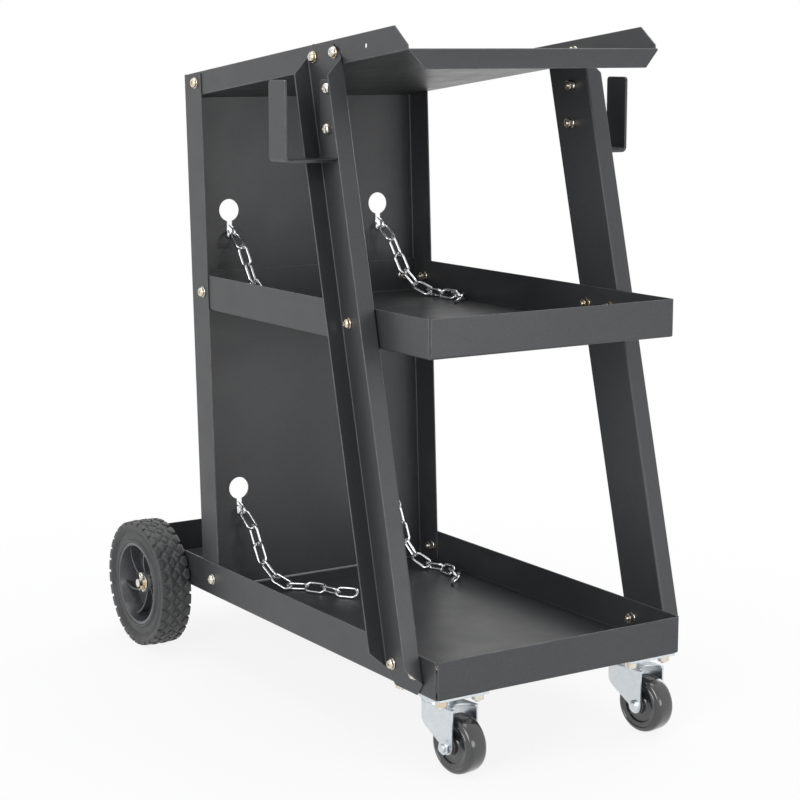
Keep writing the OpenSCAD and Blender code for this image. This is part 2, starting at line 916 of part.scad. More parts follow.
module caster_kingpin(s) {
    low = crown_z - side_play;
    at_caster(s) union() {
        translate([0, 0, low - race_step]) cylinder(r = pin_r, h = tray_z - fit - low + race_step);
        translate([0, 0, low - pin_head_h]) cylinder(r = pin_head_r, h = pin_head_h);
    }
}

// The fork's outline from the side: an upright front edge and a slanting rear
module fork_side() {
    rear = fork_w / 2;
    union() {
        polygon([
            [-caster_trail - lobe_r, bearing_r], [-caster_trail - lobe_r, crown_top + over],
            [rear, crown_top + over], [rear, crown_z - waist],
            [rear - waist, crown_z - 2 * waist - fork_t],
            [lobe_r - caster_trail, bearing_r], [-caster_trail, bearing_r - lobe_r / 2]
        ]);
        translate([-caster_trail, bearing_r]) circle(lobe_r);
    }
}

module fork_plan(inset) {
    front = caster_trail + lobe_r;
    union() {
        translate([inset - fork_w / 2, -front - over]) square([fork_w - 2 * inset, front + over]);
        circle(fork_w / 2 - inset);
    }
}

// The crown stops short of the legs' front edge in a shallow arch
module crown_arch() {
    translate([0, -caster_trail - lobe_r, crown_z - over]) linear_extrude(fork_t + 2 * over)
        circle(r = fork_in / 2 - collar_w);
}

module caster_fork(s) {
    at_fork(s) difference() {
        union() {
            intersection() {
                linear_extrude(crown_top) fork_plan(0);
                along_x(2 * fork_w) fork_side();
            }
            rotate_extrude() polygon([
                [pin_r + collar_w, crown_z + fork_t / 2], [ball_circle + race_ring, crown_z + fork_t / 2],
                [ball_circle + race_ring, ball_z - race_step], [pin_r + collar_w, ball_z - race_step]
            ]);
        }
        translate([0, 0, -over]) linear_extrude(crown_z + over) fork_plan(fork_t);
        crown_arch();
        cylinder(r = pin_r + run_play, h = 2 * tray_z);
        translate([0, -caster_trail, bearing_r]) rod_x(caster_axle_r + run_play, 2 * fork_w);
        ball_groove();
    }
}

module caster_wheel(s) {
    boss = fork_in / 2 - side_play;
    bore = bush_r + run_play;
    half = concat([[bore, boss], [wheel_boss_r, boss]],
        [for (p = wheel_shares) [p[0] * caster_wheel_d / 2, p[1] * caster_wheel_w / 2]]);
    at_caster_wheel(s) rotate_extrude($fn = 96)
        polygon(concat(half, [for (i = [len(half) - 1:-1:0]) [half[i][0], -half[i][1]]]));
}

module caster_bush(s) {
    at_caster_wheel(s) translate([0, 0, fit - fork_in / 2])
        ring(2 * bush_r, caster_axle_r + run_play, fork_in - 2 * fit);
}

// The axle bolt: its round head faces the middle of the cart, its nut faces out
module caster_bolt(s) {
    seat = fork_w / 2;
    tip = seat + nut_h + thread_end;
    at_caster_wheel(s) rotate_extrude() polygon([
        [0, -seat - caster_head_h], [caster_head_r / 2, -seat - caster_head_h],
        [caster_head_r, -seat - caster_head_h / 2], [caster_head_r, -seat],
        [caster_axle_r, -seat], [caster_axle_r, tip], [0, tip]
    ]);
}

module caster_nut(s) {
    at_caster_wheel(s) translate([0, 0, fork_w / 2]) difference() {
        cylinder(d = caster_nut_w / cos(30), h = nut_h, $fn = 6);
        translate([0, 0, -over]) cylinder(r = caster_axle_r + run_play, h = nut_h + 2 * over);
    }
}

module left_caster_plate() { color(zinc) caster_plate(-1); }
module left_caster_race() { color(zinc) caster_race(-1); }
module left_caster_balls() { color(zinc) caster_balls(-1); }
module left_caster_kingpin() { color(zinc) caster_kingpin(-1); }
module left_caster_fork() { color(zinc) caster_fork(-1); }
module left_caster_wheel() { color(rubber) caster_wheel(-1); }
module left_caster_bush() { color(zinc) caster_bush(-1); }
module left_caster_bolt() { color(zinc) caster_bolt(-1); }
module left_caster_nut() { color(zinc) caster_nut(-1); }
module right_caster_plate() { color(zinc) caster_plate(1); }
module right_caster_race() { color(zinc) caster_race(1); }
module right_caster_balls() { color(zinc) caster_balls(1); }
module right_caster_kingpin() { color(zinc) caster_kingpin(1); }
module right_caster_fork() { color(zinc) caster_fork(1); }
module right_caster_wheel() { color(rubber) caster_wheel(1); }
module right_caster_bush() { color(zinc) caster_bush(1); }
module right_caster_bolt() { color(zinc) caster_bolt(1); }
module right_caster_nut() { color(zinc) caster_nut(1); }

module caster_fasteners(part) {
    for (s = sides, a = sides, b = sides)
        translate([s * caster_x + a * plate_bolt_w / 2, caster_y + b * plate_bolt_l / 2, tray_floor])
            fastener(part, sheet + plate_t, false);
}

module caster_screws() {
    color(gold) caster_fasteners("screw");
}

module caster_nuts() {
    color(gold) {
        caster_fasteners("washer");
        caster_fasteners("nut");
    }
}

// A chain link along X: two half rings joined by two straight wires
module chain_link() {
    r = (link_w - wire) / 2;
    straight = link_l - link_w;
    union() for (s = sides) {
        translate([s * straight / 2, 0, 0]) rotate([0, 0, -s * 90])
            rotate_extrude(angle = 180) translate([r, 0]) circle(wire / 2);
        translate([0, s * r, 0]) rod_x(wire / 2, straight);
    }
}

// Direction of a link that heads away from the panel, turned towards +X, and dips
function link_dir(heading, dip) =
    [sin(heading) * cos(dip), -cos(heading) * cos(dip), -sin(dip)];

module link_at(start, turn) {
    dir = link_dir(turn[0], turn[1]);
    translate(start + dir * pitch / 2) rotate([0, 0, turn[0] - 90])
        rotate([0, turn[1], 0]) rotate([turn[2], 0, 0]) chain_link();
}

// Draws a row of links, each turn being heading, dip and roll, joint to joint
module link_row(start, turns, i = 0) {
    if (i < len(turns)) {
        link_at(start, turns[i]);
        link_row(start + link_dir(turns[i][0], turns[i][1]) * pitch, turns, i + 1);
    }
}

// Middle of the link that passes through a slot and rests on its lower end
function pass_mid(s, z) = [
    s * keyhole_pitch / 2,
    panel_y_at(z - slot_drop + pass_rise) + sheet / 2,
    z - slot_drop + pass_rise
];

// Dips of the links that hang down to a floor: each bends a little less than the last
steep_max = 76;
function steep_sum(dip, n, start) =
    sin((start + dip) / 2) + n * sin(dip) + sin(dip * 2 / 3) + sin(dip / 3);
function steep_count(drop, start, n = 0) =
    steep_sum(steep_max, n, start) >= drop ? n : steep_count(drop, start, n + 1);
function steep_dip(drop, start, n, low = 0, high = steep_max, step = solve_steps) = step == 0
    ? (low + high) / 2
    : steep_sum((low + high) / 2, n, start) < drop
        ? steep_dip(drop, start, n, (low + high) / 2, high, step - 1)
        : steep_dip(drop, start, n, low, (low + high) / 2, step - 1);
function hang_dips(drop, start) = let (
    n = steep_count(drop, start),
    dip = steep_dip(drop, start, n)
) concat([(start + dip) / 2], [for (i = [0:1:n - 1]) dip], [dip * 2 / 3, dip / 3]);
function run_of(dips, i = 0) = i < len(dips) ? pitch * cos(dips[i]) + run_of(dips, i + 1) : 0;

// A chain's end: it passes through a slot, hangs down and lies on the floor below
module chain_tail(s, z, floor_z, first, hang, roll, floor_roll, headings) {
    mid = pass_mid(s, z);
    half = link_dir(0, pass_dip) * pitch / 2;
    dips = hang_dips((mid[2] + half[2] - floor_z - lie_h) / pitch, pass_dip);
    n = len(dips);
    link_at(mid - half, [0, pass_dip, 90]);
    link_row(mid + half, concat(
        [for (i = [0:n - 1]) [
            i == 0 ? first : hang, dips[i], roll + i * (90 + (floor_roll - roll) / n)
        ]],
        [for (i = [0:len(headings) - 1]) [headings[i], 0, floor_roll + 90 * (n + i)]]
    ));
}

module upper_chain_left() {
    color(zinc) chain_tail(-1, upper_keyhole_z, mid_floor, 5, 10, -5, -45, [15, 40, 60, 40]);
}

module upper_chain_right() {
    color(zinc) chain_tail(1, upper_keyhole_z, mid_floor, 10, 20, 10, 45, [10, 10, -15, -42]);
}

module lower_chain_left() {
    color(zinc) chain_tail(-1, lower_keyhole_z, tray_floor, 15, 34, 10, 45, [50, 30, 20, 40]);
}

module lower_chain_right() {
    color(zinc) chain_tail(1, lower_keyhole_z, tray_floor, 10, 20, 10, 45, [25, -5, -20, -38]);
}

// A loop's links turn evenly from one side to the other, so that it spans the keyholes
loop_share = 1.45;
floor_loop_share = 1.25;
loop_links = 2 * ceil(loop_share * keyhole_pitch / pitch / 2);
floor_links = 2 * ceil(floor_loop_share * keyhole_pitch / pitch / 2);
function loop_turn(n, side, i) = side * (1 - (2 * i + 1) / n);
function loop_width(n, side, i = 0) =
    i < n ? pitch * cos(loop_turn(n, side, i)) + loop_width(n, side, i + 1) : 0;
function loop_side(n, low = 0, high = 120, step = solve_steps) = step == 0
    ? (low + high) / 2
    : loop_width(n, (low + high) / 2) > keyhole_pitch
        ? loop_side(n, (low + high) / 2, high, step - 1)
        : loop_side(n, low, (low + high) / 2, step - 1);

// Behind the panel an upright link hangs from each passing link
lift_share = 0.42;
function loop_y(mid) = mid[1] + hang_y;
function loop_top(mid) = mid[2] - wire_r * cos(pass_dip)
    + (hang_y - wire_r * sin(pass_dip)) * tan(pass_dip)
    + (wire + side_play) / cos(pass_dip) + wire * lift_share - (link_l - wire - pitch) / 2;

// The upper chain's loop hangs free behind the panel
module upper_chain_loop() {
    mid = pass_mid(-1, upper_keyhole_z);
    side = loop_side(loop_links);
    color(zinc) {
        for (s = sides) link_at([s * keyhole_pitch / 2, loop_y(mid), loop_top(mid)], [90, 90, 45]);
        link_row([-keyhole_pitch / 2, loop_y(mid), loop_top(mid) - pitch],
            [for (i = [0:loop_links - 1]) [90, loop_turn(loop_links, side, i), 135 + 90 * i]]);
    }
}

// The lower chain's loop hangs down to the tray and lies there in a bow
module lower_chain_loop() {
    mid = pass_mid(-1, lower_keyhole_z);
    top = loop_top(mid);
    dips = hang_dips((top - pitch - tray_floor - lie_h) / pitch, 90);
    n = len(dips);
    side = loop_side(floor_links);
    color(zinc) {
        for (s = sides) mirror([s > 0 ? 1 : 0, 0, 0]) {
            link_at([-keyhole_pitch / 2, loop_y(mid), top], [180, 90, 45]);
            link_row([-keyhole_pitch / 2, loop_y(mid), top - pitch],
                [for (i = [0:n - 1]) [180, dips[i], 135 + 90 * i]]);
        }
        link_row([-keyhole_pitch / 2, loop_y(mid) + run_of(dips), tray_floor + lie_h],
            [for (i = [0:floor_links - 1])
                [90 + loop_turn(floor_links, side, i), 0, 135 + 90 * (n + i)]]);
    }
}

bottom_tray();
middle_shelf();
top_shelf();
back_panel();
left_leg();
right_leg();
left_hook();
right_hook();
leg_screws();
leg_washers();
leg_nuts();
hook_screws();
hook_nuts();
panel_screws();
panel_washers();
panel_nuts();
axle_brackets();
bracket_screws();
bracket_nuts();
rear_axle();
axle_spacers();
axle_washers();
cotter_pins();
left_rear_tyre();
left_rear_hub();
right_rear_tyre();
right_rear_hub();
left_caster_plate();
left_caster_race();
left_caster_balls();
left_caster_kingpin();
left_caster_fork();
left_caster_wheel();
left_caster_bush();
left_caster_bolt();
left_caster_nut();
right_caster_plate();
right_caster_race();
right_caster_balls();
right_caster_kingpin();
right_caster_fork();
right_caster_wheel();
right_caster_bush();
right_caster_bolt();
right_caster_nut();
caster_screws();
caster_nuts();
upper_chain_left();
upper_chain_right();
upper_chain_loop();
lower_chain_left();
lower_chain_right();
lower_chain_loop();
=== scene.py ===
"""The looks of a welding cart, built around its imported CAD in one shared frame.

The CAD nodes keep their meshes and get procedural materials. Visual pieces stand in for the
screws, nuts and washers, the tyres, the caster wheels, the hooks and the top shelf. Blender
works in metres. The mesh helpers work in millimetres, which Pile.make turns into metres.
"""
import json
import math

import bmesh
import bpy
import numpy as np
from mathutils import Matrix, Vector


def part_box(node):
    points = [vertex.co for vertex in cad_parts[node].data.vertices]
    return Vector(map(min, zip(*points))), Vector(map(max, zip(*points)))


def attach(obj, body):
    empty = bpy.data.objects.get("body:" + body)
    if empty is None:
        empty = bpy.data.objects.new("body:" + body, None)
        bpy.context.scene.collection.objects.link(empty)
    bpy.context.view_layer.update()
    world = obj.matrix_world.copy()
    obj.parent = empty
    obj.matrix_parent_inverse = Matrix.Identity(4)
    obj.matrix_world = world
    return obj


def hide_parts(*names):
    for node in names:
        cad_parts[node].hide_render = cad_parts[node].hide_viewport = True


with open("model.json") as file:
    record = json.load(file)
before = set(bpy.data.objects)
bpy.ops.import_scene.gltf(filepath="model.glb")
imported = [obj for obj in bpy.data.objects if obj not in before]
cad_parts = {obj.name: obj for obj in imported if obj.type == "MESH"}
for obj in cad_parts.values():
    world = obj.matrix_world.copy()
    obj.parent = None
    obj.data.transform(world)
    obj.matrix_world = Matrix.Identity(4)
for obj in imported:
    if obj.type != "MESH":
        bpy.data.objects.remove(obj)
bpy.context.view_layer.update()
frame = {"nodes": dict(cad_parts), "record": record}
NODES = frame["nodes"]
RECORD = frame["record"]
SLOTS = {part["node"]: part["material_slot"] for part in RECORD["subparts"]}
BODY_OF = {node: body for body, nodes in RECORD["behaviour"]["bodies"].items() for node in nodes}
TAU = 2 * math.pi
MM = 1000.0  # millimetres in a metre


def linked(name, data):
    """A new object in the scene."""
    obj = bpy.data.objects.new(name, data)
    bpy.context.scene.collection.objects.link(obj)
    return obj


# Camera, fitted to the photograph by the cart's edges
PICTURE_PX = 800.0
FOCAL_PX = 2046.9
SENSOR_MM = 36.0
VIEW_DEPTH = 60.0
CAMERA_PLACE = (-1.2355, -1.9508, 0.7238)
CAMERA_TILT = math.radians(80.2)
CAMERA_TURN = math.radians(-32.7)

camera_data = bpy.data.cameras.new("photo_camera")
camera_data.sensor_width = SENSOR_MM
camera_data.lens = FOCAL_PX / PICTURE_PX * SENSOR_MM
camera_data.clip_end = VIEW_DEPTH
camera = linked("photo_camera", camera_data)
camera.location = CAMERA_PLACE
camera.rotation_euler = (CAMERA_TILT, 0.0, CAMERA_TURN)
bpy.context.scene.camera = camera


# Materials: radii and distances are in metres, scales count waves to the metre
NOISE_LOW, NOISE_HIGH = 0.3, 0.7  # most values of a noise lie between these


class Tree:
    """Adds nodes to a node tree."""

    def __init__(self, tree):
        self.tree = tree

    def feed(self, value, socket):
        """Links an output to an input, or sets the input to a plain value."""
        if isinstance(value, bpy.types.NodeSocket):
            self.tree.links.new(value, socket)
        elif socket.type == "RGBA":
            socket.default_value = (*value, 1.0)
        else:
            socket.default_value = value

    def add(self, kind, inputs, **settings):
        """A new node whose inputs are given by name or by number."""
        node = self.tree.nodes.new(kind)
        for key, value in settings.items():
            setattr(node, key, value)
        for key, value in inputs.items():
            self.feed(value, node.inputs[key])
        return node

    def seen_rays(self):
        """1 for rays from the camera, reflections and glass, and 0 for those that bring light."""
        rays = self.add("ShaderNodeLightPath", {}).outputs
        seen = rays["Is Camera Ray"]
        for kind in ("Is Glossy Ray", "Is Transmission Ray"):
            seen = self.add("ShaderNodeMath", {0: seen, 1: rays[kind]},
                            operation="MAXIMUM").outputs[0]
        return seen


class Finish(Tree):
    """A material whose node tree is built up."""

    SOCKETS = {"color": "Base Color", "rough": "Roughness", "metal": "Metallic",
               "normal": "Normal", "spec": "Specular IOR Level", "coat": "Coat Weight",
               "coat_rough": "Coat Roughness"}
    BEVEL_SAMPLES = 6

    def __init__(self, name):
        self.material = bpy.data.materials.new(name)
        self.material.use_nodes = True
        super().__init__(self.material.node_tree)
        self.shader = self.tree.nodes["Principled BSDF"]
        self.coords = self.add("ShaderNodeTexCoord", {}).outputs["Object"]

    def noise(self, scale, detail=3.0, rough=0.5, stretch=None):
        where = self.coords
        if stretch:
            where = self.add("ShaderNodeMapping",
                             {"Vector": where, "Scale": stretch}).outputs["Vector"]
        return self.add("ShaderNodeTexNoise", {
            "Vector": where, "Scale": scale, "Detail": detail, "Roughness": rough,
        }).outputs["Fac"]

    def grains(self, scale):
        return self.add("ShaderNodeTexVoronoi",
                        {"Vector": self.coords, "Scale": scale}).outputs["Color"]

    def ramp(self, source, dark, light, low=NOISE_LOW, high=NOISE_HIGH):
        """Colours from dark, where the source is low, to light, where it is high."""
        node = self.add("ShaderNodeValToRGB", {"Fac": source})
        first, last = node.color_ramp.elements
        first.position, first.color = low, (*dark, 1.0)
        last.position, last.color = high, (*light, 1.0)
        return node.outputs["Color"]

    def remap(self, source, low, high, start=NOISE_LOW, end=NOISE_HIGH):
        """The source's values from start to end, spread from low to high."""
        return self.add("ShaderNodeMapRange", {
            "Value": source, "From Min": start, "From Max": end, "To Min": low, "To Max": high,
        }).outputs["Result"]

    def mix(self, share, a, b):
        node = self.add("ShaderNodeMix", {0: share}, data_type="RGBA")
        colours = [socket for socket in node.inputs if socket.type == "RGBA"]
        for value, socket in zip((a, b), colours):
            self.feed(value, socket)
        return next(socket for socket in node.outputs if socket.type == "RGBA")

    def round_edges(self, radius):
        return self.add("ShaderNodeBevel", {"Radius": radius},
                        samples=self.BEVEL_SAMPLES).outputs["Normal"]

    def edges(self, radius, start, end):
        """A mask that is 1 on edges and 0 on flat faces, and the normals rounded there."""
        bent = self.round_edges(radius)
        flat = self.add("ShaderNodeNewGeometry", {}).outputs["Normal"]
        likeness = self.add("ShaderNodeVectorMath", {0: bent, 1: flat}, operation="DOT_PRODUCT")
        return self.remap(likeness.outputs["Value"], 0.0, 1.0, start, end), bent

    def bump(self, source, strength, distance, under=None):
        inputs = {"Height": source, "Strength": strength, "Distance": distance}
        if under is not None:
            inputs["Normal"] = under
        return self.add("ShaderNodeBump", inputs).outputs["Normal"]

    def set(self, **values):
        for key, value in values.items():
            self.feed(value, self.shader.inputs[self.SOCKETS[key]])
        return self.material


def powder_coat():
    """Satin black powder coat with orange peel and fine grain, and lighter edges that are a painted
    highlight.
    """
    n = Finish("frame_black")
    mask, bent = n.edges(radius=0.0014, start=0.975, end=0.82)
    tone = n.ramp(n.noise(scale=9.0, detail=5.0),
                  dark=(0.031, 0.0322, 0.0350), light=(0.040, 0.0412, 0.0440))
    specks = n.ramp(n.noise(scale=800.0, detail=2.0, rough=0.75),
                    dark=(0.026, 0.0272, 0.0295), light=(0.056, 0.0575, 0.0605),
                    low=0.40, high=0.66)
    # Painted highlight: a patchy light grey that the edge mask lays along every edge and fold.
    painted_edge_highlight = n.ramp(n.noise(scale=60.0, detail=4.0),
                    dark=(0.10, 0.102, 0.106), light=(0.26, 0.262, 0.268), low=0.35, high=0.75)
    colour = n.mix(share=mask, a=n.mix(share=0.45, a=tone, b=specks), b=painted_edge_highlight)
    rough = n.remap(n.noise(scale=26.0, detail=4.0), low=0.33, high=0.42)
    peel = n.bump(n.noise(scale=520.0, detail=2.0), strength=0.20, distance=0.0005, under=bent)
    grain = n.bump(n.noise(scale=1500.0, detail=2.0),
                   strength=0.34, distance=0.00025, under=peel)
    return n.set(color=colour, rough=rough, normal=grain, spec=0.55)


def plated(name, dark, light, rough, cloud, warm=None, edge=None):
    """Zinc plating with clouds, fine scratches and grain, and warm stains where they are given."""
    n = Finish(name)
    tone = n.ramp(n.noise(scale=180.0, detail=5.0, rough=0.6), dark, light)
    if warm:
        stains = n.remap(n.noise(scale=70.0), low=0.0, high=0.8, start=0.42, end=0.62)
        tone = n.mix(share=stains, a=tone, b=warm)
    roughness = n.remap(n.noise(scale=420.0, detail=4.0), low=rough - cloud, high=rough + cloud)
    under = n.round_edges(edge) if edge else None
    along = n.noise(scale=900.0, detail=2.0, rough=0.6, stretch=(1.0, 1.0, 0.12))
    scratch = n.bump(along, strength=0.08, distance=0.0001, under=under)
    grain = n.bump(n.noise(scale=1700.0), strength=0.12, distance=0.00015, under=scratch)
    return n.set(color=tone, rough=roughness, metal=1.0, normal=grain)


def caster_plating():
    """Bright zinc with a mottled, spangled face and a bluish tint."""
    n = Finish("caster_zinc")
    spangle = n.ramp(n.grains(scale=900.0), dark=(0.60, 0.64, 0.675), light=(0.74, 0.775, 0.80),
                     low=0.2, high=0.8)
    cloud = n.ramp(n.noise(scale=120.0, detail=5.0, rough=0.65),
                   dark=(0.62, 0.665, 0.695), light=(0.74, 0.775, 0.80))
    rough = n.remap(n.noise(scale=300.0, detail=4.0), low=0.28, high=0.38)
    grain = n.bump(n.noise(scale=1400.0), strength=0.18, distance=0.0002,
                   under=n.round_edges(radius=0.0006))
    tone = n.mix(share=0.5, a=spangle, b=cloud)
    return n.set(color=tone, rough=rough, metal=1.0, normal=grain)


def tyre_rubber():
    """Matt rubber whose edges are coloured a lighter grey."""
    n = Finish("tyre_rubber")
    mask, bent = n.edges(radius=0.0009, start=0.96, end=0.75)
    tone = n.ramp(n.noise(scale=45.0, detail=5.0, rough=0.6),
                  dark=(0.032, 0.0325, 0.034), light=(0.046, 0.047, 0.049))
    # A lighter grey that the edge mask lays along every edge.
    lighter_edge_tone = n.ramp(n.noise(scale=260.0), dark=(0.09, 0.091, 0.093), light=(0.17, 0.171, 0.174))
    rough = n.remap(n.noise(scale=130.0, detail=4.0), low=0.40, high=0.54)
    grain = n.bump(n.noise(scale=1700.0), strength=0.2, distance=0.0003, under=bent)
    colour = n.mix(share=mask, a=tone, b=lighter_edge_tone)
    return n.set(color=colour, rough=rough, normal=grain, spec=0.55)


def moulded(name, dark, light, rough, spec, coat=0.0):
    """Moulded plastic with a faint grain."""
    n = Finish(name)
    tone = n.ramp(n.noise(scale=60.0, detail=4.0), dark, light)
    roughness = n.remap(n.noise(scale=200.0), low=rough - 0.04, high=rough + 0.05)
    grain = n.bump(n.noise(scale=1300.0, detail=2.0), strength=0.10, distance=0.0002,
                   under=n.round_edges(radius=0.0005))
    return n.set(color=tone, rough=roughness, normal=grain, spec=spec, coat=coat,
                 coat_rough=0.05)


MATERIALS = {
    "frame_black": powder_coat(),
    "fastener_zinc": plated(
        "fastener_zinc", dark=(0.66, 0.64, 0.59), light=(0.84, 0.82, 0.78), rough=0.22,
        cloud=0.07, warm=(0.70, 0.58, 0.40), edge=0.0003),
    "axle_zinc": plated(
        "axle_zinc", dark=(0.66, 0.65, 0.63), light=(0.84, 0.83, 0.81), rough=0.24,
        cloud=0.06, warm=(0.78, 0.66, 0.46), edge=0.0003),
    "caster_zinc": caster_plating(),
    "chain_zinc": plated(
        "chain_zinc", dark=(0.76, 0.77, 0.79), light=(0.90, 0.91, 0.93), rough=0.22, cloud=0.06),
    "tyre_rubber": tyre_rubber(),
    "hub_plastic": moulded(
        "hub_plastic", dark=(0.048, 0.0495, 0.0540), light=(0.062, 0.0635, 0.0690),
        rough=0.25, spec=0.8),
    "caster_wheel_black": moulded(
        "caster_wheel_black", dark=(0.017, 0.0172, 0.018), light=(0.024, 0.0245, 0.026),
        rough=0.20, spec=0.6, coat=0.8),
}

for name, obj in NODES.items():
    obj.data.materials.clear()
    obj.data.materials.append(MATERIALS[SLOTS[name]])


# Mesh helpers: a shape is a list of points in millimetres and a list of faces
class Pile:
    """Gathers the shapes of one visual piece."""

    def __init__(self):
        self.verts, self.faces = [], []

    def put(self, shape, place=Matrix()):
        verts, faces = shape
        start = len(self.verts)
        self.verts += [place @ Vector(v) for v in verts]
        self.faces += [[start + i for i in face] for face in faces]

    def make(self, node, kind, smooth):
        """The piece that stands in for a CAD node, smooth across edges up to an angle."""
        name = f"{node}_{kind}"
        mesh = bpy.data.meshes.new(name)
        mesh.from_pydata([tuple(v / MM) for v in self.verts], [], self.faces)
        mesh.validate()
        mesh.polygons.foreach_set("use_smooth", [True] * len(mesh.polygons))
        mesh.set_sharp_from_angle(angle=math.radians(smooth))
        mesh.materials.append(MATERIALS[SLOTS[node]])
        mesh.update()
        obj = linked(name, mesh)
        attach(obj, BODY_OF[node])
        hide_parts(node)


def bands(rings, steps, closed=False):
    """The faces between rings of as many points, and between the last and first if closed."""
    faces = []
    for ring in range(rings if closed else rings - 1):
        a, b = ring * steps, (ring + 1) % rings * steps
        for i in range(steps):
            j = (i + 1) % steps
            faces.append([a + i, a + j, b + j, b + i])
    return faces


def lathe(profile, steps, closed=False):
    """Turns (r, z) points about Z. They run upwards outside and downwards inside."""
    verts, rings, faces = [], [], []
    for r, z in profile:
        count = steps if r > 0 else 1
        rings.append(range(len(verts), len(verts) + count))
        verts += [(r * math.cos(TAU * i / steps), r * math.sin(TAU * i / steps), z)
                  for i in range(count)]
    for a, b in zip(rings, rings[1:] + (rings[:1] if closed else [])):
        for i in range(steps):
            j = (i + 1) % steps
            quad = [a[i % len(a)], a[j % len(a)], b[j % len(b)], b[i % len(b)]]
            face = [v for k, v in enumerate(quad) if v != quad[k - 1]]
            if len(face) > 2:
                faces.append(face)
    return verts, faces


def both_sides(half):
    """A wheel's profile from its outer side, a list that ends on the middle plane."""
    return [(r, -z) for r, z in half[:-1]] + [half[-1]] + half[:-1][::-1]


def placed(origin, axis, side=None):
    """A matrix whose Z runs along the axis from the origin, with X along the given side."""
    z = Vector(axis).normalized()
    x = Vector(side) if side is not None else z.orthogonal()
    x = (x - z * x.dot(z)).normalized()
    y = z.cross(x)
    matrix = Matrix((x, y, z)).transposed().to_4x4()
    matrix.translation = Vector(origin)
    return matrix


def mesh_shape(mesh):
    """The shape of a bmesh, which is freed."""
    mesh.verts.index_update()
    shape = [tuple(v.co) for v in mesh.verts], [[v.index for v in f.verts] for f in mesh.faces]
    mesh.free()
    return shape


def outward(shape):
    """Turns a closed shape's faces to the outside."""
    verts, faces = shape
    mesh = bmesh.new()
    made = [mesh.verts.new(v) for v in verts]
    for face in faces:
        mesh.faces.new([made[i] for i in face])
    bmesh.ops.recalc_face_normals(mesh, faces=mesh.faces[:])
    return mesh_shape(mesh)


# Fastener shapes
THREAD_STEPS = 24
THREAD_ROWS = 4  # rings of points to a turn
THREAD_PITCH = 1.0
THREAD_DEPTH = 0.32
THREAD_TIP = 0.8  # the tapered end's length
THREAD_TAPER = 0.20  # how much of the radius it loses
NUT_STEPS = 72
NUT_FACE = 0.475  # the flat face's radius, as a share of the width
NUT_CHAMFER = math.radians(30)
BORE_CHAMFER = 0.5
WASHER_STEPS = 48
WASHER_RIM = 0.3


def thread(length, r):
    """A threaded rod from z = 0 down to -length, with a tapered end."""
    rows = int(length / (THREAD_PITCH / THREAD_ROWS)) + 1
    verts = []
    for row in range(rows + 1):
        z = -length + length * row / rows
        full = min(1.0, (z + length) / THREAD_TIP)
        for i in range(THREAD_STEPS):
            phase = (z / THREAD_PITCH + i / THREAD_STEPS) % 1.0
            cut = THREAD_DEPTH * abs(2 * phase - 1)
            radius = (r - cut) * (1.0 - THREAD_TAPER + THREAD_TAPER * full)
            a = TAU * i / THREAD_STEPS
            verts.append((radius * math.cos(a), radius * math.sin(a), z))
    end = list(range(THREAD_STEPS))[::-1]
    return verts, bands(rows + 1, THREAD_STEPS) + [end]


def hex_nut(width, height, bore):
    """A nut on z = 0..height whose corners are chamfered on both faces."""
    face = NUT_FACE * width

    def side(a):
        """The hexagon's radius at an angle."""
        return width / 2 / math.cos((a + TAU / 12) % (TAU / 6) - TAU / 12)

    def drop(a):
        """How far the chamfer falls there."""
        return max(0.0, side(a) - face) * math.tan(NUT_CHAMFER)

    rings = (
        lambda a: (face, 0.0),
        lambda a: (side(a), drop(a)),
        lambda a: (side(a), height - drop(a)),
        lambda a: (face, height),
        lambda a: (bore + BORE_CHAMFER, height),
        lambda a: (bore, height - BORE_CHAMFER),
        lambda a: (bore, BORE_CHAMFER),
        lambda a: (bore + BORE_CHAMFER, 0.0),
    )
    verts = []
    for ring in rings:
        for i in range(NUT_STEPS):
            a = TAU * i / NUT_STEPS
            r, z = ring(a)
            verts.append((r * math.cos(a), r * math.sin(a), z))
    return verts, bands(len(rings), NUT_STEPS, closed=True)


def washer(inner, outer, thick):
    e = min(WASHER_RIM, thick / 3)
    return lathe([(inner + e, 0), (outer - e, 0), (outer, e), (outer, thick - e),
                  (outer - e, thick), (inner + e, thick), (inner, thick - e), (inner, e)],
                 WASHER_STEPS, closed=True)


HEAD_STEPS = 40
HEAD_FOOT = 0.25  # how far the head is drawn in at its seat
HEAD_CURVE_H = 4.0  # the height that HEAD_CURVE is drawn for
# Shares of the radius and heights. A low head, which stands for a washer under a nut, keeps
# the heights that are over its own: they lie inside the sheet.
HEAD_CURVE = ((1.0, 0.3), (1.0, 1.1), (0.965, 1.9), (0.88, 2.7), (0.74, 3.3), (0.55, 3.72),
              (0.30, 3.94))
RECESS_TOP = (0.56, 0.150)  # half an arm's length and width, as shares of the radius
RECESS_FLOOR = (0.30, 0.085)
RECESS_DEPTH = 2.3
RECESS_OVER = 0.5
BLOCK_FACES = [(3, 2, 1, 0), (4, 5, 6, 7), (0, 1, 5, 4), (1, 2, 6, 5), (2, 3, 7, 6), (3, 0, 4, 7)]


def recess_arm(radius, height, turn):
    """One arm of the cross: a tapered block that is cut out of a head."""
    c, s = math.cos(turn), math.sin(turn)
    verts = []
    for (length, width), z in ((RECESS_FLOOR, height - RECESS_DEPTH),
                               (RECESS_TOP, height + RECESS_OVER)):
        l, w = length * radius, width * radius
        for x, y in ((-l, -w), (l, -w), (l, w), (-l, w)):
            verts.append((c * x - s * y, s * x + c * y, z))
    return verts, BLOCK_FACES


def shape_object(name, shape):
    """A new object whose mesh is the shape, in its own numbers."""
    verts, faces = shape
    mesh = bpy.data.meshes.new(name)
    mesh.from_pydata(verts, [], faces)
    mesh.update()
    return linked(name, mesh)


